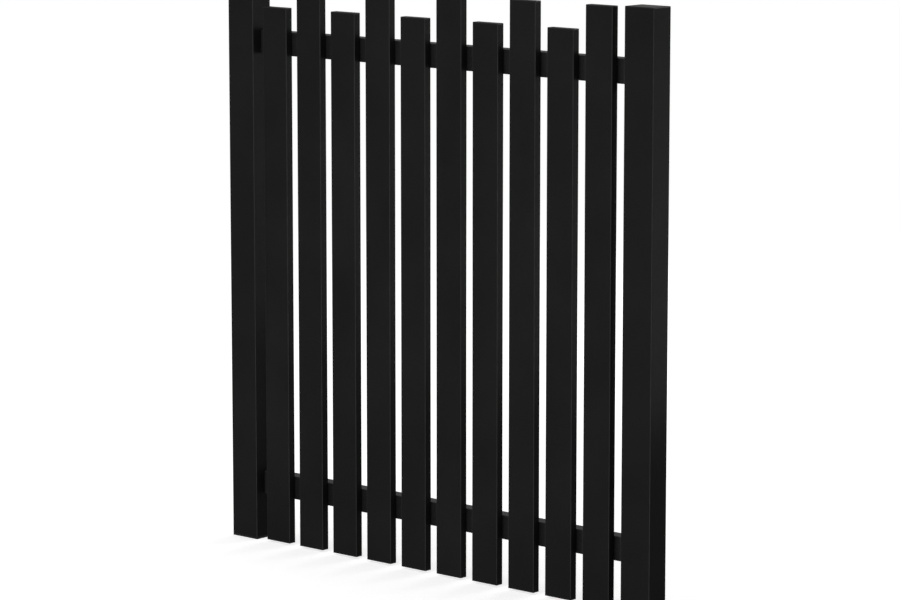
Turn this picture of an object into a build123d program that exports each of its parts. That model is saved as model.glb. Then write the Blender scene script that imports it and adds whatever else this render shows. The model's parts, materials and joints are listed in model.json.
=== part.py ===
"""A pedestrian gate: a picket leaf of steel tube, hung on strap hinges between two posts.

Millimetres. The origin is the middle of the hinge post's foot. X runs along the gate, with the hinge post at
the right, Y runs from the picket side to the back, and Z is up.
"""

from build123d import *

import os

# Posts
PASSAGE_WIDTH = 1000.0
POST_WIDTH = 72.0
POST_DEPTH = 53.0
POST_RISE = 2.0
POST_WALL = 3.0

# Pickets, which stand in front of the rails
PICKET_COUNT = 10
PICKET_WIDTH = 67.0
PICKET_DEPTH = 18.0
PICKET_WALL = 1.5
TALL_PICKET_TOP = 1200.0
PICKET_STEP = 50.0
GROUND_CLEARANCE = 5.0

# Rails
RAIL_HEIGHT = 50.0
RAIL_DEPTH = 30.0
RAIL_WALL = 2.0
LOWER_RAIL_BOTTOM = 99.0
UPPER_RAIL_DROP = 102.0
LATCH_CLEARANCE = 6.5
HINGE_CLEARANCE = 8.0

# Tube corners and the caps that close the tubes
CORNER_RADIUS = 1.5
CAP_THICKNESS = 2.0
FOOT_THICKNESS = 4.0
CAP_CHAMFER = 0.8
PLUG_DEPTH = 12.0
PLUG_CLEARANCE = 0.25

# Hinges: on each rail a cranked strap with a rolled eye, which crosses STRAP_PICKETS pickets, and on the post
# a plate with a pin
STRAP_PICKETS = 2
STRAP_HEIGHT = 30.0
STRAP_END_RADIUS = 12.0
HINGE_THICKNESS = 5.0
CRANK_LENGTH = 12.0
TONGUE_LENGTH = 12.0
PLATE_WIDTH = 56.0
PLATE_HEIGHT = 90.0
PLATE_CORNER_RADIUS = 6.0
PIN_RADIUS = 6.0
PIN_CLEARANCE = 0.1
PIN_PROJECTION = 3.0
PIN_CHAMFER = 1.0
EYE_GAP = 0.3
ROLL_SEAM = 1.0
AXIS_INSET = 15.0
SWING_CLEARANCE = 5.0

# Planes and lines that the pieces share
POST_HEIGHT = TALL_PICKET_TOP + POST_RISE
UPPER_RAIL_BOTTOM = TALL_PICKET_TOP - UPPER_RAIL_DROP - RAIL_HEIGHT
POST_BACK = POST_DEPTH / 2
FRONT = -POST_DEPTH / 2
PICKET_BACK = FRONT + PICKET_DEPTH
RAIL_BACK = PICKET_BACK + RAIL_DEPTH
HINGE_FACE = -POST_WIDTH / 2
LATCH_FACE = HINGE_FACE - PASSAGE_WIDTH
LATCH_POST_X = LATCH_FACE - POST_WIDTH / 2
PICKET_GAP = (PASSAGE_WIDTH - PICKET_COUNT * PICKET_WIDTH) / (PICKET_COUNT + 1)
EYE_RADIUS = PIN_RADIUS + PIN_CLEARANCE
KNUCKLE_RADIUS = EYE_RADIUS + HINGE_THICKNESS
KNUCKLE_FRONT = max(POST_BACK, RAIL_BACK + SWING_CLEARANCE)
AXIS_X = HINGE_FACE - AXIS_INSET
AXIS_Y = KNUCKLE_FRONT + KNUCKLE_RADIUS
STRAP_END = HINGE_FACE - STRAP_PICKETS * (PICKET_WIDTH + PICKET_GAP) - PICKET_GAP / 2


def tube(width, depth, wall, length):
    """A rectangular tube with rounded corners, standing on the origin along Z."""
    outline = RectangleRounded(width, depth, CORNER_RADIUS)
    bore = Rectangle(width - 2 * wall, depth - 2 * wall)
    return extrude(outline - bore, length)


def end_plug(width, depth, wall, thickness):
    """Closes the end of a tube: a plate of the tube's outline above the origin, and a plug below it."""
    inset = 2 * (wall + PLUG_CLEARANCE)
    plate = extrude(RectangleRounded(width, depth, CORNER_RADIUS), thickness)
    return plate + extrude(Rectangle(width - inset, depth - inset), -PLUG_DEPTH)


def top_cap(width, depth, wall):
    """An end plug whose plate has a chamfered rim, for the ends that point up."""
    plug = end_plug(width, depth, wall, CAP_THICKNESS)
    return chamfer(plug.faces().sort_by(Axis.Z)[-1].edges(), CAP_CHAMFER)


def post_pieces(x):
    """A post's tube, its top cap and its foot, centred on x."""
    tube_length = POST_HEIGHT - FOOT_THICKNESS - CAP_THICKNESS
    shaft = Pos(x, 0, FOOT_THICKNESS) * tube(POST_WIDTH, POST_DEPTH, POST_WALL, tube_length)
    cap = Pos(x, 0, POST_HEIGHT - CAP_THICKNESS) * top_cap(POST_WIDTH, POST_DEPTH, POST_WALL)
    plug = end_plug(POST_WIDTH, POST_DEPTH, POST_WALL, FOOT_THICKNESS)
    foot = Pos(x, 0, FOOT_THICKNESS) * Rot(X=180) * plug
    return shaft, cap, foot


def picket_place(index):
    """Middle of a picket along X, counted from the latch side, and the height of its top."""
    x = LATCH_FACE + PICKET_GAP + PICKET_WIDTH / 2 + index * (PICKET_WIDTH + PICKET_GAP)
    top = TALL_PICKET_TOP if index % 2 else TALL_PICKET_TOP - PICKET_STEP
    return x, top


def picket_pieces(index):
    """A picket's tube, top cap and bottom cap."""
    x, top = picket_place(index)
    y = FRONT + PICKET_DEPTH / 2
    tube_bottom = GROUND_CLEARANCE + CAP_THICKNESS
    tube_top = top - CAP_THICKNESS
    shaft = Pos(x, y, tube_bottom) * tube(PICKET_WIDTH, PICKET_DEPTH, PICKET_WALL, tube_top - tube_bottom)
    cap = Pos(x, y, tube_top) * top_cap(PICKET_WIDTH, PICKET_DEPTH, PICKET_WALL)
    plug = end_plug(PICKET_WIDTH, PICKET_DEPTH, PICKET_WALL, CAP_THICKNESS)
    return shaft, cap, Pos(x, y, tube_bottom) * Rot(X=180) * plug


def rail_pieces(bottom):
    """A rail's tube along X, and its two end caps."""
    left = LATCH_FACE + LATCH_CLEARANCE + CAP_THICKNESS
    right = HINGE_FACE - HINGE_CLEARANCE - CAP_THICKNESS
    y = PICKET_BACK + RAIL_DEPTH / 2
    z = bottom + RAIL_HEIGHT / 2
    plug = end_plug(RAIL_HEIGHT, RAIL_DEPTH, RAIL_WALL, CAP_THICKNESS)
    shaft = Pos(left, y, z) * Rot(Y=90) * tube(RAIL_HEIGHT, RAIL_DEPTH, RAIL_WALL, right - left)
    latch_cap = Pos(left, y, z) * Rot(Y=-90) * plug
    hinge_cap = Pos(right, y, z) * Rot(Y=90) * plug
    return shaft, latch_cap, hinge_cap


def hinge_leaf(far_x, seat, side):
    """Plan of a hinge leaf: flat on its seat from far_x, cranked to the knuckle's front and rolled into it.

    side is -1 for the leaf that lies towards the latch and 1 for the one that lies on the post.
    """
    crank_end = AXIS_X + side * TONGUE_LENGTH
    crank_start = crank_end + side * CRANK_LENGTH
    inner = [(far_x, seat), (crank_start, seat), (crank_end, KNUCKLE_FRONT), (AXIS_X, KNUCKLE_FRONT)]
    outer = [(x, y + HINGE_THICKNESS) for x, y in reversed(inner)]
    plate = make_face(Polyline(*inner, *outer, close=True))
    seam = Rectangle(KNUCKLE_RADIUS, ROLL_SEAM, align=(Align.CENTER, Align.MIN))
    knuckle = Circle(KNUCKLE_RADIUS) - Pos(side * KNUCKLE_RADIUS / 2, -EYE_RADIUS) * seam
    return plate + Pos(AXIS_X, AXIS_Y) * knuckle


def hinge_strap(rail_bottom):
    """The strap on a rail's back, with an eye that turns on the pin."""
    bottom = rail_bottom + (RAIL_HEIGHT - STRAP_HEIGHT) / 2
    plan = hinge_leaf(STRAP_END, RAIL_BACK, -1) - Pos(AXIS_X, AXIS_Y) * Circle(EYE_RADIUS)
    strap = Pos(0, 0, bottom) * extrude(plan, STRAP_HEIGHT)
    return fillet(strap.edges().filter_by(Axis.Y).group_by(Axis.X)[0], STRAP_END_RADIUS)


def hinge_pintle(rail_bottom):
    """The plate on the post's back, with a knuckle under the strap's eye and a pin standing in it."""
    eye_bottom = rail_bottom + (RAIL_HEIGHT - STRAP_HEIGHT) / 2
    knuckle_top = eye_bottom - EYE_GAP
    knuckle_bottom = knuckle_top - STRAP_HEIGHT
    leaf = Pos(0, 0, knuckle_bottom) * extrude(hinge_leaf(0, POST_BACK, 1), STRAP_HEIGHT)
    outline = Rot(X=90) * RectangleRounded(PLATE_WIDTH, PLATE_HEIGHT, PLATE_CORNER_RADIUS)
    plate = Pos(0, POST_BACK, knuckle_top) * extrude(outline, HINGE_THICKNESS, dir=(0, 1, 0))
    pin_bottom = knuckle_bottom - PIN_PROJECTION
    pin_length = 2 * (STRAP_HEIGHT + PIN_PROJECTION) + EYE_GAP
    pin = extrude(Circle(PIN_RADIUS), pin_length)
    pin = chamfer(pin.edges().filter_by(GeomType.CIRCLE), PIN_CHAMFER)
    return leaf + plate + Pos(AXIS_X, AXIS_Y, pin_bottom) * pin


def build():
    """Every piece of the gate, by the name of its node."""
    pieces = {}
    for name, x in (("hinge_post", 0), ("latch_post", LATCH_POST_X)):
        shaft, cap, foot = post_pieces(x)
        pieces[name] = shaft
        pieces[name + "_cap"] = cap
        pieces[name + "_foot"] = foot
    for level, bottom in (("upper", UPPER_RAIL_BOTTOM), ("lower", LOWER_RAIL_BOTTOM)):
        shaft, latch_cap, hinge_cap = rail_pieces(bottom)
        pieces[level + "_rail"] = shaft
        pieces[level + "_rail_end_caps"] = Compound([latch_cap, hinge_cap])
        pieces[level + "_hinge_strap"] = hinge_strap(bottom)
        pieces[level + "_hinge_pintle"] = hinge_pintle(bottom)
    top_caps = []
    bottom_caps = []
    for index in range(PICKET_COUNT):
        shaft, upper_cap, lower_cap = picket_pieces(index)
        pieces[f"picket_{index + 1:02d}"] = shaft
        top_caps.append(upper_cap)
        bottom_caps.append(lower_cap)
    pieces["picket_top_caps"] = Compound(top_caps)
    pieces["picket_bottom_caps"] = Compound(bottom_caps)
    return pieces


os.makedirs("parts", exist_ok=True)
for node, shape in build().items():
    export_step(shape, f"parts/{node}.step")
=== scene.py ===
"""A black picket gate between its posts: powder coat, caps, hinge steel, screws, bolts and a studio."""

import json
import math

import bmesh
import bpy
from bpy.props import FloatProperty, FloatVectorProperty, PointerProperty
from mathutils import Matrix, Vector


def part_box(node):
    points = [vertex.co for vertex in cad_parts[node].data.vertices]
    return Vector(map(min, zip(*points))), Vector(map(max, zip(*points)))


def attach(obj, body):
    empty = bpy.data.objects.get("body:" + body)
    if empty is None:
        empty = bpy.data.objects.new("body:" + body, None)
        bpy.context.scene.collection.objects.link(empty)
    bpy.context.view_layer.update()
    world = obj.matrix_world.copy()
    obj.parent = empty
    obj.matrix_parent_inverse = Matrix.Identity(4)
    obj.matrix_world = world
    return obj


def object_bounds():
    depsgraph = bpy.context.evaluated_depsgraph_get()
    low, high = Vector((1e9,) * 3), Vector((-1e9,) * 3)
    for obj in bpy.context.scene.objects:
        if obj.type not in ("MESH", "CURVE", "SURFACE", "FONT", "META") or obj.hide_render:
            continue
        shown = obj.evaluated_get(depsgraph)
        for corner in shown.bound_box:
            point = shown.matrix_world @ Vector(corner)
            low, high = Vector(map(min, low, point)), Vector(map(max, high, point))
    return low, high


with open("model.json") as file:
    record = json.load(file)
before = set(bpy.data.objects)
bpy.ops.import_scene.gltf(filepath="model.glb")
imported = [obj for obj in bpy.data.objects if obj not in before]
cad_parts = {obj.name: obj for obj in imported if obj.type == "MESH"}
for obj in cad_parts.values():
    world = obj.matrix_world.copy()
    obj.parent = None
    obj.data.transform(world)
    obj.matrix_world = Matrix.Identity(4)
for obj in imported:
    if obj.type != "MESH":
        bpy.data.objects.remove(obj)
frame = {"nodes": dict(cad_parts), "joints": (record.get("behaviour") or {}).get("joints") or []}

bl_info = {
    "name": "Picket Gate",
    "version": (1, 0, 0),
    "blender": (4, 5, 0),
    "location": "View3D > Sidebar > Gate",
    "description": "Finishes, fixings and studio of a picket gate between its posts",
    "category": "Object",
}

CAD_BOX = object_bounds()
WHITE = (1.0, 1.0, 1.0, 1.0)
SENSOR_WIDTH = 36.0
LEVELS = ("upper", "lower")
POSTS = ("hinge_post", "latch_post")
PICKETS = sorted(name for name in frame["nodes"] if name.startswith("picket_") and name[-1].isdigit())
HINGE_AXIS = Vector(frame["joints"][0]["pos_m"])
WASHER_SEGMENTS = 24
HEAD_SIDES = 6
HEAD_SINK = 0.1                     # share of the washer that the head sits in
HEAD_TURN = math.radians(137.5)     # from one head to the next, so that no two line up
SHARP_ANGLE = math.radians(25.0)


# Shaders

class Wire:
    """An output socket in a node tree. Arithmetic on it adds Math nodes."""

    def __init__(self, wiring, socket):
        self.wiring = wiring
        self.socket = socket

    def maths(self, operation, *values):
        return self.wiring.node("ShaderNodeMath", {"operation": operation}, dict(enumerate(values)))

    def __add__(self, other):
        return self.maths("ADD", self, other)

    def __sub__(self, other):
        return self.maths("SUBTRACT", self, other)

    def __rsub__(self, other):
        return self.maths("SUBTRACT", other, self)

    def __mul__(self, other):
        return self.maths("MULTIPLY", self, other)

    def __lt__(self, other):
        return self.maths("LESS_THAN", self, other)

    def __gt__(self, other):
        return self.maths("GREATER_THAN", self, other)

    def __abs__(self):
        return self.maths("ABSOLUTE", self)


class Wiring:
    """A node tree that is being wired."""

    def __init__(self, tree):
        self.tree = tree

    def node(self, kind, settings=None, sockets=None, output=0):
        """Adds a node with its settings, then the values or links of its sockets. Gives one output."""
        node = self.tree.nodes.new(kind)
        for key, value in (settings or {}).items():
            setattr(node, key, value)
        for key, value in (sockets or {}).items():
            self.feed(node.inputs[key], value)
        return Wire(self, node.outputs[output])

    def feed(self, socket, value):
        """Links a wire to a socket, or sets the socket's own value."""
        if isinstance(value, Wire):
            self.tree.links.new(value.socket, socket)
        else:
            socket.default_value = value

    def shown(self):
        """1 for rays that show a surface, straight, mirrored or through glass, 0 for rays that light."""
        camera, glossy, glass = (self.node("ShaderNodeLightPath", output=f"Is {ray} Ray")
                                 for ray in ("Camera", "Glossy", "Transmission"))
        return camera + glossy + glass


class Coat(Wiring):
    """A material that is being built on a Principled BSDF."""

    def __init__(self, name):
        self.material = bpy.data.materials.new(name)
        self.material.use_nodes = True
        super().__init__(self.material.node_tree)
        self.shader = self.tree.nodes["Principled BSDF"]
        self.place = self.node("ShaderNodeTexCoord", output="Object")

    def set(self, **values):
        """Feeds the shader's sockets, named with underscores for spaces."""
        for key, value in values.items():
            self.feed(self.shader.inputs[key.replace("_", " ")], value)

    def noise(self, grain, detail=2.0):
        """A noise about 0, from -0.5 to 0.5, whose grain is its feature size in metres."""
        sockets = {"Vector": self.place, "Scale": 1.0 / grain, "Detail": detail, "Roughness": 0.5}
        return self.node("ShaderNodeTexNoise", None, sockets, "Fac") - 0.5

    def blend(self, mask, first, second):
        """A colour between two, by a mask from 0 to 1."""
        settings = {"data_type": "RGBA", "blend_type": "MIX", "clamp_factor": True}
        return self.node("ShaderNodeMix", settings, {0: mask, 6: first, 7: second}, 2)

    def vary(self, shift, colour, depth):
        """A colour made lighter and darker by a share, depth, at a shift of 0.5 and -0.5."""
        return self.blend(shift + 0.5, tint(colour, 1.0 - depth), tint(colour, 1.0 + depth))

    def bump(self, height, strength, distance):
        """A normal that follows a height in units of distance, in metres."""
        sockets = {"Height": height, "Strength": strength, "Distance": distance}
        return self.node("ShaderNodeBump", None, sockets, "Normal")

    def axes(self, vector):
        """The three components of a vector."""
        return [self.node("ShaderNodeSeparateXYZ", None, {0: vector}, letter) for letter in "XYZ"]

    def corners(self):
        """A mask of the rounded long corners of a tube: 0 on its flats, 1 halfway round a corner."""
        x, y, z = self.axes(self.node("ShaderNodeTexCoord", output="Normal"))
        return (x * x * y * y + y * y * z * z + z * z * x * x) * 4.0


def tint(colour, factor):
    """A colour made lighter or darker, with an alpha of one."""
    return tuple(channel * factor for channel in colour[:3]) + (1.0,)


def powder(coat, gloss, finish):
    """Satin powder coat: a slow drift of tone, an orange peel and a fine grit. Gives what varies over it."""
    drift = coat.noise(finish.drift_size, 3.0)
    peel = coat.noise(finish.peel_size)
    grit = coat.noise(finish.grit_size)
    return {
        "Base_Color": coat.vary(drift * 0.5 + peel * 0.7 + grit * 1.2, finish.coat_colour, 0.6),
        "Roughness": drift * 0.10 + peel * 0.10 + grit * 0.15 + finish.coat_roughness,
        "Coat_Weight": (drift * 0.3 + peel * 0.9 + grit * 0.6 + 1.0) * gloss,
        "Normal": coat.bump(peel * 0.8 + grit * 0.3, 0.5, finish.relief),
    }


def tube_coat(name, gloss, finish):
    """Powder coat on a tube, with a painted highlight in a lighter colour over the rounded corners."""
    coat = Coat(name)
    paint = powder(coat, gloss, finish)
    # Painted highlight: a lighter colour on the rounded corners, broken up by noise.
    corner_highlight = coat.corners() * (coat.noise(finish.corner_highlight_size, 3.0) + 0.8)
    paint["Base_Color"] = coat.blend(corner_highlight, paint["Base_Color"], tint(finish.corner_highlight_colour, 1.0))
    coat.set(**paint, Specular_IOR_Level=0.0, Coat_Roughness=finish.coat_blur)
    return coat


def hinge_coat(name, finish, pin_radius, knuckle_radius, joints):
    """Powder coat on the hinge leaves, rubbed through where an eye meets its knuckle. The pins are bare."""
    coat = Coat(name)
    paint = powder(coat, finish.coat_gloss, finish)
    wear = coat.noise(finish.wear_size, 4.0)
    x, y, z = coat.axes(coat.place)
    x, y = x - HINGE_AXIS.x, y - HINGE_AXIS.y
    off_axis = x * x + y * y
    painted = off_axis > pin_radius ** 2
    rim = wear * finish.wear_stray + finish.wear_width
    for joint in joints:
        rubbed = (abs(z - joint) < rim) * (off_axis < knuckle_radius ** 2)
        painted = painted * (1.0 - rubbed)
    bare = 1.0 - painted
    paint["Base_Color"] = coat.blend(bare, paint["Base_Color"], coat.vary(wear, finish.steel_colour, 0.4))
    paint["Roughness"] = paint["Roughness"] * painted + bare * (wear * 0.2 + finish.steel_roughness)
    paint["Coat_Weight"] = paint["Coat_Weight"] * painted
    coat.set(**paint, Metallic=bare, Specular_IOR_Level=0.0, Coat_Roughness=finish.coat_blur)
    return coat


def cap_plastic(name, finish):
    """Black plastic with the fine even texture of a spark-eroded mould."""
    coat = Coat(name)
    texture = coat.noise(finish.mould_size)
    drift = coat.noise(finish.cap_drift_size)
    coat.set(Base_Color=coat.vary(drift + texture, finish.cap_colour, 0.4),
             Roughness=texture * 0.2 + finish.cap_roughness,
             Coat_Weight=(texture * 0.8 + 1.0) * finish.cap_gloss,
             Normal=coat.bump(texture, 0.5, finish.relief),
             Specular_IOR_Level=0.0, Coat_Roughness=finish.cap_blur)
    return coat


def blackened_steel(name, finish):
    """Blackened screws and bolts: dark metal, rubbed lighter in places."""
    coat = Coat(name)
    rubbed = coat.noise(finish.rub_size, 4.0)
    grain = coat.noise(finish.grain_size)
    coat.set(Base_Color=coat.vary(rubbed * 1.5 + grain * 0.5, finish.bolt_colour, 0.6),
             Roughness=grain * 0.2 + rubbed * 0.2 + finish.bolt_roughness,
             Normal=coat.bump(grain, 0.15, finish.relief), Metallic=1.0)
    return coat


def dress(names, coat):
    """Gives CAD nodes a coat."""
    for name in names:
        for slot in frame["nodes"][name].material_slots:
            slot.material = coat.material


# Fixings

def disc(bm, radius, thickness, segments, edge):
    """A flat disc or prism that stands on the XY plane, with a rounded upper rim. Gives its vertices."""
    known = set(bm.verts)
    circle = bmesh.ops.create_circle(bm, cap_ends=True, radius=radius, segments=segments)["verts"]
    base = circle[0].link_faces[0]
    grown = bmesh.ops.extrude_face_region(bm, geom=[base], use_keep_orig=True)["geom"]
    top = [item for item in grown if isinstance(item, bmesh.types.BMVert)]
    bmesh.ops.translate(bm, verts=top, vec=(0.0, 0.0, thickness))
    rim = [item for item in grown if isinstance(item, bmesh.types.BMEdge)]
    bmesh.ops.bevel(bm, geom=rim, offset=edge, offset_type="OFFSET", affect="EDGES", segments=2, profile=0.5,
                    material=-1)
    return [vert for vert in bm.verts if vert not in known]


def hex_head(bm, foot, sizes, turn):
    """A hexagon head on a washer, on a face that looks to the back, turned about its own axis."""
    washer = disc(bm, sizes.washer_diameter / 2, sizes.washer_thickness, WASHER_SEGMENTS, sizes.edge)
    head = disc(bm, sizes.across_flats / math.sqrt(3), sizes.head_height, HEAD_SIDES, sizes.edge)
    bmesh.ops.translate(bm, verts=head, vec=(0.0, 0.0, sizes.washer_thickness * (1.0 - HEAD_SINK)))
    place = Matrix.Translation(foot) @ Matrix.Rotation(-math.pi / 2, 4, "X") @ Matrix.Rotation(turn, 4, "Z")
    bmesh.ops.transform(bm, matrix=place, verts=washer + head)


def heads(name, feet, sizes, coat, body):
    """One piece of like heads on a body, each turned differently, as they come from the spanner."""
    bm = bmesh.new()
    for count, foot in enumerate(feet):
        hex_head(bm, foot, sizes, count * HEAD_TURN)
    bmesh.ops.recalc_face_normals(bm, faces=bm.faces)
    for edge in bm.edges:
        edge.smooth = edge.calc_face_angle() < SHARP_ANGLE
    for face in bm.faces:
        face.smooth = True
    piece = add_mesh(name, bm, coat)
    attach(piece, body)


def add_mesh(name, bm, coat):
    """An object in the scene with a finished mesh and its coat."""
    mesh = bpy.data.meshes.new(name)
    bm.to_mesh(mesh)
    bm.free()
    mesh.materials.append(coat.material)
    piece = bpy.data.objects.new(name, mesh)
    bpy.context.scene.collection.objects.link(piece)
    return piece


def middle(node):
    """Middle of a node's box."""
    low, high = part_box(node)
    return (low + high) / 2


def pairs(level, bolted, spacing, back):
    """Feet of a rail's pairs of fixings on a back plane, at the pickets under its strap or at the others."""
    strap_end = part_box(f"{level}_hinge_strap")[0].x
    height = middle(f"{level}_rail").z
    places = [middle(name).x for name in PICKETS]
    return [Vector((x + side * spacing / 2, back, height))
            for x in places if (x > strap_end) == bolted for side in (-1, 1)]


# Settings

def length(name, description, default):
    """A setting in metres."""
    return FloatProperty(name=name, description=description, subtype="DISTANCE", unit="LENGTH", precision=4,
                         default=default)


def place(name, description, *default):
    """A point or an offset in metres."""
    return FloatVectorProperty(name=name, description=description, subtype="TRANSLATION", unit="LENGTH",
                               size=3, default=default)


def extent(name, description, *default):
    """A width and a height in metres."""
    return FloatVectorProperty(name=name, description=description, unit="LENGTH", size=2, default=default)


def angle(name, description, default):
    """A setting in degrees."""
    return FloatProperty(name=name, description=description, subtype="ANGLE", unit="ROTATION",
                         default=math.radians(default))


def power(name, description, default):
    """A lamp's power in watts."""
    return FloatProperty(name=name, description=description, subtype="POWER", unit="POWER", default=default)


def share(name, description, default):
    """A setting from 0 to 1."""
    return FloatProperty(name=name, description=description, subtype="FACTOR", min=0.0, max=1.0,
                         default=default)


def shade(name, description, *default):
    """A colour, in linear red, green and blue."""
    return FloatVectorProperty(name=name, description=description, subtype="COLOR", size=3, min=0.0, max=1.0,
                               default=default)


class GateFinish(bpy.types.PropertyGroup):
    """Colours and gloss of the gate's finishes."""

    coat_colour: shade("Coat colour", "Powder coat of the gate and its posts", 0.0095, 0.0095, 0.0095)
    coat_roughness: share("Coat roughness", "Roughness of the powder coat", 0.55)
    coat_gloss: share("Coat gloss", "Strength of the powder coat's reflection", 0.025)
    coat_blur: share("Coat blur", "Blur of the powder coat's reflection", 0.25)
    # Painted highlight: the lighter colour blended onto the tubes' rounded corners.
    corner_highlight_colour: shade("Corner colour", "Powder coat where it runs thin over corners", 0.04, 0.04, 0.04)
    rail_gloss: share("Rail gloss", "Strength of the reflection on the rails", 0.18)
    drift_size: length("Drift size", "Grain of the coat's slow drift of tone", 0.18)
    peel_size: length("Peel size", "Grain of the coat's orange peel", 0.0024)
    grit_size: length("Grit size", "Grain of the coat's fine grit", 0.0007)
    # Grain of the noise that breaks up the painted highlight on the corners.
    corner_highlight_size: length("Corner size", "Grain of the coat's thinning over corners", 0.02)
    relief: length("Relief", "Depth of the texture on coat, plastic and bolts", 0.0002)
    cap_colour: shade("Cap colour", "Plastic of the caps and plugs", 0.006, 0.006, 0.006)
    cap_roughness: share("Cap roughness", "Roughness of the caps and plugs", 0.5)
    cap_gloss: share("Cap gloss", "Strength of the reflection on the caps and plugs", 0.27)
    cap_blur: share("Cap blur", "Blur of the reflection on the caps and plugs", 0.35)
    cap_drift_size: length("Cap drift size", "Grain of the plastic's drift of tone", 0.03)
    mould_size: length("Mould size", "Grain of the plastic's mould texture", 0.0009)
    steel_colour: shade("Steel colour", "Bare steel of the hinge pins", 0.35, 0.34, 0.33)
    steel_roughness: share("Steel roughness", "Roughness of the bare steel", 0.35)
    wear_size: length("Wear size", "Grain of the wear on the hinges", 0.004)
    wear_width: length("Wear width", "Half the width of the rubbed rim of a knuckle", 0.0006)
    wear_stray: length("Wear stray", "How far the rubbed rim widens and narrows", 0.0016)
    bolt_colour: shade("Bolt colour", "Blackened steel of screws and bolts", 0.035, 0.035, 0.036)
    bolt_roughness: share("Bolt roughness", "Roughness of screws and bolts", 0.42)
    rub_size: length("Rub size", "Grain of the rubbed places on screws and bolts", 0.003)
    grain_size: length("Grain size", "Grain of the blackened steel", 0.0005)


class GateScrew(bpy.types.PropertyGroup):
    """Sizes of the screws that hold the pickets on the rails."""

    across_flats: length("Across flats", "Width of the hexagon across its flats", 0.008)
    head_height: length("Head height", "Height of the hexagon", 0.0042)
    washer_diameter: length("Washer diameter", "Outside diameter of the washer", 0.0125)
    washer_thickness: length("Washer thickness", "Thickness of the washer", 0.0012)
    edge: length("Edge", "Rounding of the upper rims", 0.0004)


class GateBolt(bpy.types.PropertyGroup):
    """Sizes of the bolts that hold the hinges."""

    across_flats: length("Across flats", "Width of the hexagon across its flats", 0.013)
    head_height: length("Head height", "Height of the hexagon", 0.0053)
    washer_diameter: length("Washer diameter", "Outside diameter of the washer", 0.018)
    washer_thickness: length("Washer thickness", "Thickness of the washer", 0.0016)
    edge: length("Edge", "Rounding of the upper rims", 0.0006)


class GateHinge(bpy.types.PropertyGroup):
    """Places of the fixings, and sizes of the hinges that their finish follows."""

    pair_spacing: length("Pair spacing", "Between the two fixings of a picket on a rail", 0.036)
    plate_inset: length("Plate inset", "From the edges of a hinge plate to its bolts", 0.013)
    leaf_thickness: length("Leaf thickness", "Thickness of straps and plates", 0.005)
    pin_radius: length("Pin radius", "Within which the pins are bare", 0.00605)
    knuckle_radius: length("Knuckle radius", "Within which the knuckles are rubbed", 0.0125)


class GateStudio(bpy.types.PropertyGroup):
    """Camera, lamps, floor and background."""

    camera_place: place("Camera place", "Camera in the gate's frame", 4.3841, -5.5886, 1.7605)
    camera_turn: angle("Camera turn", "Turn of the view from straight on", 41.19)
    camera_dip: angle("Camera dip", "Angle of the view below level", 9.07)
    focal_length: FloatProperty(
        name="Focal length", description="Focal length on a 36 mm wide sensor", subtype="DISTANCE_CAMERA",
        unit="CAMERA", default=147.23)
    floor_size: length("Floor size", "Side of the floor", 60.0)
    floor_shade: share("Floor shade", "Shade of the pale matt floor", 0.92)
    sky: share("Sky", "Strength of the even light from all round", 0.5)
    main_size: extent("Main lamp size", "Width and height of the softboxes in front and behind", 2.5, 2.0)
    front_place: place("Front lamp place", "Softbox in front, from the gate's middle", 0.0, -4.5, 0.2)
    front_power: power("Front lamp power", "Power of the softbox in front", 140.0)
    back_place: place("Back lamp place", "Softbox behind, from the gate's middle", 0.0, 4.5, 0.2)
    back_power: power("Back lamp power", "Power of the softbox behind", 125.0)
    side_size: extent("Side lamp size", "Width and height of the softbox at the hinge side", 1.8, 1.15)
    side_place: place("Side lamp place", "Softbox behind the hinge side, from the gate's middle",
                      1.11, 1.37, 0.11)
    side_aim: place("Side lamp aim", "Where the side softbox points, from the gate's middle", 0.0, 0.0, 0.5)
    side_spread: angle("Side lamp spread", "Angle over which the side softbox spreads its light", 40.0)
    side_power: power("Side lamp power", "Power of the softbox at the hinge side", 2.6)


class GateSettings(bpy.types.PropertyGroup):
    """All settings of the gate."""

    finish: PointerProperty(type=GateFinish)
    screw: PointerProperty(type=GateScrew)
    bolt: PointerProperty(type=GateBolt)
    hinge: PointerProperty(type=GateHinge)
    studio: PointerProperty(type=GateStudio)


# Operators

class GATE_OT_posts(bpy.types.Operator):
    """Coats the two posts"""

    bl_idname = "gate.posts"
    bl_label = "Posts"

    def execute(self, context):
        finish = context.scene.gate.finish
        dress(POSTS, tube_coat("post_powder_coat", finish.coat_gloss, finish))
        return {"FINISHED"}


class GATE_OT_rails(bpy.types.Operator):
    """Coats the cross rails"""

    bl_idname = "gate.rails"
    bl_label = "Rails"

    def execute(self, context):
        finish = context.scene.gate.finish
        dress([f"{level}_rail" for level in LEVELS], tube_coat("rail_powder_coat", finish.rail_gloss, finish))
        return {"FINISHED"}


class GATE_OT_pickets(bpy.types.Operator):
    """Coats the pickets"""

    bl_idname = "gate.pickets"
    bl_label = "Pickets"

    def execute(self, context):
        finish = context.scene.gate.finish
        dress(PICKETS, tube_coat("picket_powder_coat", finish.coat_gloss, finish))
        return {"FINISHED"}


class GATE_OT_caps(bpy.types.Operator):
    """Finishes the caps and plugs that close the tubes"""

    bl_idname = "gate.caps"
    bl_label = "Caps"

    def execute(self, context):
        names = ["picket_top_caps", "picket_bottom_caps"]
        names += [f"{level}_rail_end_caps" for level in LEVELS]
        names += [f"{post}_{end}" for post in POSTS for end in ("cap", "foot")]
        dress(names, cap_plastic("cap_plastic", context.scene.gate.finish))
        return {"FINISHED"}


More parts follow.
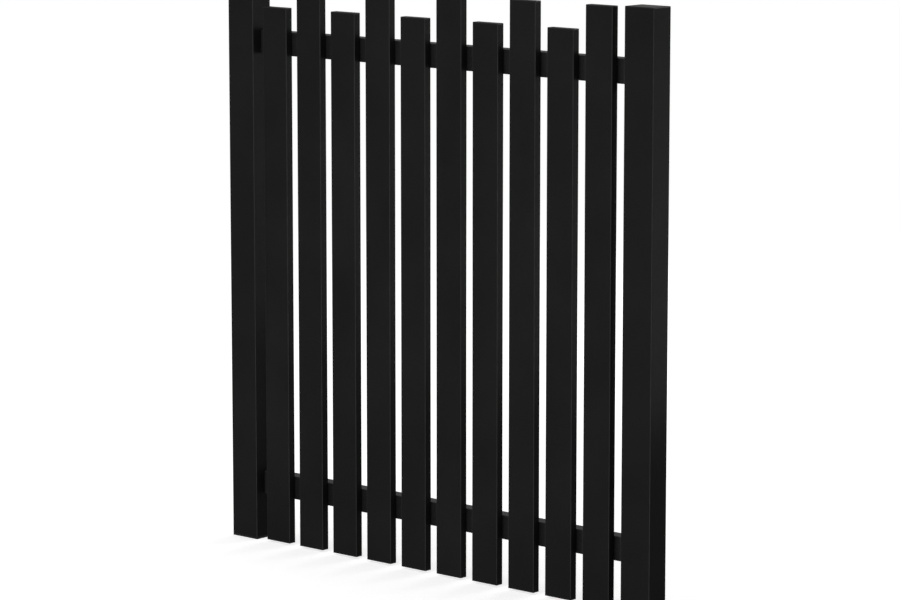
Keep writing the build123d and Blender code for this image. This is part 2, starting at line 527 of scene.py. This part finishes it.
class GATE_OT_hinges(bpy.types.Operator):
    """Coats the hinge leaves, and leaves bare their pins and the rubbed rims of their knuckles"""

    bl_idname = "gate.hinges"
    bl_label = "Hinges"

    def execute(self, context):
        gate = context.scene.gate
        joints = [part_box(f"{level}_hinge_strap")[0].z for level in LEVELS]
        sizes = gate.hinge
        coat = hinge_coat("hinge_steel", gate.finish, sizes.pin_radius, sizes.knuckle_radius, joints)
        dress([f"{level}_hinge_{leaf}" for level in LEVELS for leaf in ("strap", "pintle")], coat)
        return {"FINISHED"}


class GATE_OT_rail_screws(bpy.types.Operator):
    """Screws the pickets on from the back of the rails, but for those that the hinge straps cross"""

    bl_idname = "gate.rail_screws"
    bl_label = "Rail screws"

    def execute(self, context):
        gate = context.scene.gate
        coat = blackened_steel("screw_steel", gate.finish)
        for level in LEVELS:
            feet = pairs(level, False, gate.hinge.pair_spacing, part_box(f"{level}_rail")[1].y)
            heads(f"{level}_rail_screws", feet, gate.screw, coat, "leaf")
        return {"FINISHED"}


class GATE_OT_strap_bolts(bpy.types.Operator):
    """Bolts the hinge straps through rail and pickets"""

    bl_idname = "gate.strap_bolts"
    bl_label = "Strap bolts"

    def execute(self, context):
        gate = context.scene.gate
        coat = blackened_steel("strap_bolt_steel", gate.finish)
        for level in LEVELS:
            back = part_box(f"{level}_rail")[1].y + gate.hinge.leaf_thickness
            feet = pairs(level, True, gate.hinge.pair_spacing, back)
            heads(f"{level}_strap_bolts", feet, gate.bolt, coat, "leaf")
        return {"FINISHED"}


class GATE_OT_plate_bolts(bpy.types.Operator):
    """Bolts the hinge plates to the post"""

    bl_idname = "gate.plate_bolts"
    bl_label = "Plate bolts"

    def execute(self, context):
        gate = context.scene.gate
        coat = blackened_steel("plate_bolt_steel", gate.finish)
        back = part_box("hinge_post")[1].y + gate.hinge.leaf_thickness
        inset = gate.hinge.plate_inset
        for level in LEVELS:
            low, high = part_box(f"{level}_hinge_pintle")
            right = high.x - inset
            left = 2.0 * middle("hinge_post").x - right
            feet = [Vector((x, back, z)) for x in (left, right) for z in (low.z + inset, high.z - inset)]
            heads(f"{level}_plate_bolts", feet, gate.bolt, coat, "posts")
        return {"FINISHED"}


class GATE_OT_studio(bpy.types.Operator):
    """Sets up the floor, the even white background, the softboxes and the camera"""

    bl_idname = "gate.studio"
    bl_label = "Studio"

    def execute(self, context):
        scene = context.scene
        studio = scene.gate.studio
        scene.view_settings.view_transform = "Standard"
        self.floor(studio)
        self.background(scene, studio)
        self.softboxes(scene, studio)
        self.camera(scene, studio)
        return {"FINISHED"}

    def floor(self, studio):
        """A pale matt floor that shows white wherever nothing shades it."""
        bm = bmesh.new()
        bmesh.ops.create_grid(bm, x_segments=1, y_segments=1, size=studio.floor_size / 2)
        matt = Coat("floor_matt")
        glow = 1.0 - studio.sky * studio.floor_shade
        matt.set(Base_Color=tint(WHITE, studio.floor_shade), Roughness=1.0, Specular_IOR_Level=0.0,
                 Emission_Color=matt.shown() * glow, Emission_Strength=1.0)
        add_mesh("floor", bm, matt)

    def background(self, scene, studio):
        """Even light from all round, white where it shows."""
        scene.world = bpy.data.worlds.new("studio")
        scene.world.use_nodes = True
        wiring = Wiring(scene.world.node_tree)
        strength = wiring.shown() * (1.0 - studio.sky) + studio.sky
        back = wiring.tree.nodes["Background"]
        wiring.feed(back.inputs["Color"], WHITE)
        wiring.feed(back.inputs["Strength"], strength)

    def softboxes(self, scene, studio):
        """Soft light straight from front and back, and a narrow beam along the sides of the pickets."""
        gate = sum(CAD_BOX, Vector()) / 2
        self.softbox(scene, "front_softbox", gate + studio.front_place, gate, studio.main_size,
                     studio.front_power)
        self.softbox(scene, "back_softbox", gate + studio.back_place, gate, studio.main_size,
                     studio.back_power)
        side = self.softbox(scene, "side_softbox", gate + studio.side_place, gate + studio.side_aim,
                            studio.side_size, studio.side_power)
        side.spread = studio.side_spread

    def softbox(self, scene, name, stand, aim, size, watts):
        """A lamp that stands at one point, faces another and shows only in reflections. Gives its light."""
        light = bpy.data.lights.new(name, "AREA")
        light.shape = "RECTANGLE"
        light.size, light.size_y = size
        light.energy = watts
        lamp = bpy.data.objects.new(name, light)
        lamp.location = stand
        lamp.rotation_euler = (aim - stand).to_track_quat("-Z", "Y").to_euler()
        lamp.visible_camera = False
        scene.collection.objects.link(lamp)
        return light

    def camera(self, scene, studio):
        """A long lens at eye height, dipped towards the gate."""
        camera = bpy.data.objects.new("camera", bpy.data.cameras.new("camera"))
        camera.data.sensor_fit = "HORIZONTAL"
        camera.data.sensor_width = SENSOR_WIDTH
        camera.data.lens = studio.focal_length
        camera.location = studio.camera_place
        camera.rotation_euler = (math.pi / 2 - studio.camera_dip, 0.0, studio.camera_turn)
        scene.collection.objects.link(camera)
        scene.camera = camera


class GATE_PT_panel(bpy.types.Panel):
    """Lists the gate's steps and settings"""

    bl_idname = "GATE_PT_panel"
    bl_label = "Picket gate"
    bl_space_type = "VIEW_3D"
    bl_region_type = "UI"
    bl_category = "Gate"

    def draw(self, context):
        for step in STEPS:
            self.layout.operator(step.bl_idname)
        gate = context.scene.gate
        for group in (gate.finish, gate.screw, gate.bolt, gate.hinge, gate.studio):
            box = self.layout.box()
            box.label(text=group.bl_rna.description)
            for name in type(group).__annotations__:
                box.prop(group, name)


STEPS = (GATE_OT_posts, GATE_OT_rails, GATE_OT_pickets, GATE_OT_caps, GATE_OT_hinges, GATE_OT_rail_screws,
         GATE_OT_strap_bolts, GATE_OT_plate_bolts, GATE_OT_studio)
CLASSES = (GateFinish, GateScrew, GateBolt, GateHinge, GateStudio, GateSettings, *STEPS, GATE_PT_panel)


def register():
    for kind in CLASSES:
        bpy.utils.register_class(kind)
    bpy.types.Scene.gate = PointerProperty(type=GateSettings)


def unregister():
    del bpy.types.Scene.gate
    for kind in reversed(CLASSES):
        bpy.utils.unregister_class(kind)


def main():
    register()
    bpy.ops.gate.posts()
    bpy.ops.gate.rails()
    bpy.ops.gate.pickets()
    bpy.ops.gate.caps()
    bpy.ops.gate.hinges()
    bpy.ops.gate.rail_screws()
    bpy.ops.gate.strap_bolts()
    bpy.ops.gate.plate_bolts()
    bpy.ops.gate.studio()


if __name__ == "__main__":
    main()
